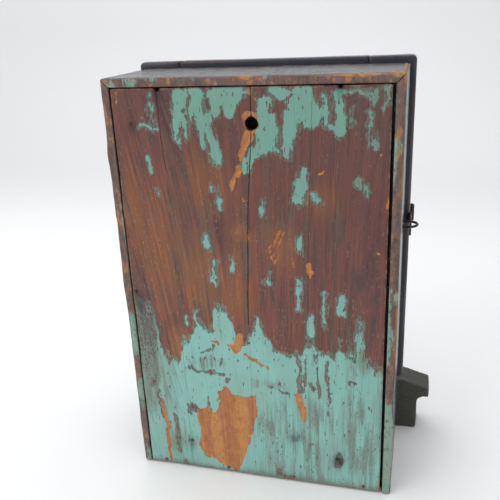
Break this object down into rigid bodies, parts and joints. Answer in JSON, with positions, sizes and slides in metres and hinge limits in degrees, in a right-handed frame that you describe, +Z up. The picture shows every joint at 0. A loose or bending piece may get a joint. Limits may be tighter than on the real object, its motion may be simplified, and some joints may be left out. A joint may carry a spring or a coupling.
{
  "type": "street fire alarm box",
  "caption": "Wooden wall case with a hinged, hasp-locked door on a shaped plinth; a glazed flap covers a pull hook that winds a clockwork signal movement.",
  "frame": {"origin": "middle of the base, under the middle of the whole box", "axes": "+Z up, -Y out of the front, +Y out of the back that hangs on the wall"},
  "size_m": [0.38, 0.168, 0.47],
  "materials": {
    "dark_paint": "worn dark paint on softwood",
    "back_paint": "flaked teal over maroon paint",
    "plinth_paint": "coarse dark grey-green paint",
    "iron": "black oxide, worn at the edges",
    "steel": "aged, faintly brushed",
    "blued": "blued",
    "brass": "tarnished",
    "nickel": "worn nickel plate",
    "red": "chipped red enamel",
    "glass": "old, slightly dirty",
    "slate": "honed slate",
    "hard_rubber": "moulded hard rubber",
    "cloth_wire": "waxed green cotton cover",
    "rust": "rusted"
  },
  "bodies": {
    "case": {"side_board_left": "dark_paint", "side_board_right": "dark_paint", "top_board": "dark_paint", "bottom_board": "dark_paint", "back_board": "back_paint", "back_nails": "rust", "apron_board": "dark_paint", "plinth": "plinth_paint", "hinge_case_leaves": "iron", "hinge_pins": "iron", "case_screws": "iron", "staple": "iron", "plate_back": "brass", "plate_front": "brass", "plate_pillars": "brass", "plate_screws": "blued", "slide_keepers": "brass", "contact_block": "hard_rubber", "contact_anvil": "brass", "gong": "nickel", "gong_post": "brass", "magnet_coils": "cloth_wire", "magnet_yoke": "iron", "key_base": "brass", "key_spring": "steel", "terminal_block": "slate", "terminal_posts": "brass", "terminal_nuts": "brass", "arrester_plates": "brass", "wires": "cloth_wire", "pull_spring": "steel"},
    "door": {"door_stiles": "dark_paint", "door_rails": "dark_paint", "door_upper_panel": "dark_paint", "door_lower_panel": "dark_paint", "panel_beads": "dark_paint", "window_bezel": "red", "door_screws": "iron", "hinge_door_leaves": "iron", "hasp_leaf": "iron", "number_plate": "brass"},
    "hasp": {"hasp_strap": "iron"},
    "flap": {"flap_frame": "red", "flap_glass": "glass", "flap_bars": "steel", "flap_knob": "brass"},
    "pull": {"pull_bar": "steel", "pull_hook": "red"},
    "winder": {"winding_pinion": "brass", "barrel_arbor": "steel", "ratchet_wheel": "steel"},
    "barrel": {"spring_barrel": "brass", "mainspring": "blued", "great_wheel": "brass"},
    "train": {"code_wheel": "brass", "code_arbor": "steel"},
    "governor": {"fly": "brass"},
    "finger": {"contact_finger": "nickel"},
    "armature": {"bell_armature": "iron"},
    "key": {"key_lever": "brass"}
  },
  "joints": [
    {"name": "door_swing", "type": "hinge", "parent": "case", "child": "door", "pos_m": [0.1605, -0.0314, 0.277], "axis": [0, 0, 1], "range_deg": [0, 105]},
    {"name": "hasp_swing", "type": "hinge", "parent": "door", "child": "hasp", "pos_m": [-0.1577, -0.0538, 0.293], "axis": [0, 0, 1], "range_deg": [0, 180]},
    {"name": "flap_lift", "type": "hinge", "parent": "door", "child": "flap", "pos_m": [0, -0.0523, 0.413], "axis": [-1, 0, 0], "range_deg": [0, 110]},
    {"name": "pull_slide", "type": "slide", "parent": "case", "child": "pull", "axis": [0, 0, -1], "range_m": [0, 0.045], "stiffness_N_per_m": 120, "springref_m": -0.03, "deforming": ["pull_spring"]},
    {"name": "winder_turn", "type": "hinge", "parent": "case", "child": "winder", "pos_m": [0.018, 0.034, 0.338], "axis": [0, -1, 0], "range_deg": [0, 258]},
    {"name": "barrel_turn", "type": "hinge", "parent": "case", "child": "barrel", "pos_m": [0.018, 0.034, 0.338], "axis": [0, -1, 0], "continuous": true},
    {"name": "train_turn", "type": "hinge", "parent": "case", "child": "train", "pos_m": [0.039, 0.034, 0.30163], "axis": [0, -1, 0], "continuous": true},
    {"name": "governor_turn", "type": "hinge", "parent": "case", "child": "governor", "pos_m": [0.02942, 0.034, 0.27532], "axis": [0, -1, 0], "continuous": true},
    {"name": "finger_flex", "type": "hinge", "parent": "case", "child": "finger", "pos_m": [0.0667, 0.0015, 0.34363], "axis": [0, -1, 0], "range_deg": [0, 1.4], "stiffness_Nm_per_rad": 0.05, "springref_deg": -2.86},
    {"name": "armature_pull", "type": "hinge", "parent": "case", "child": "armature", "pos_m": [-0.04, 0.05, 0.122], "axis": [0, -1, 0], "range_deg": [0, 3], "stiffness_Nm_per_rad": 0.3, "springref_deg": -5.73},
    {"name": "key_press", "type": "hinge", "parent": "case", "child": "key", "pos_m": [0.07, 0.0535, 0.165], "axis": [0, 0, 1], "range_deg": [0, 2.6], "stiffness_Nm_per_rad": 0.6, "springref_deg": -5.73}
  ],
  "couplings": [
    {"joint": "winder_turn", "follows": "pull_slide", "rad_per_m": 100},
    {"joint": "train_turn", "follows": "barrel_turn", "ratio": -6},
    {"joint": "governor_turn", "follows": "barrel_turn", "ratio": 36}
  ]
}
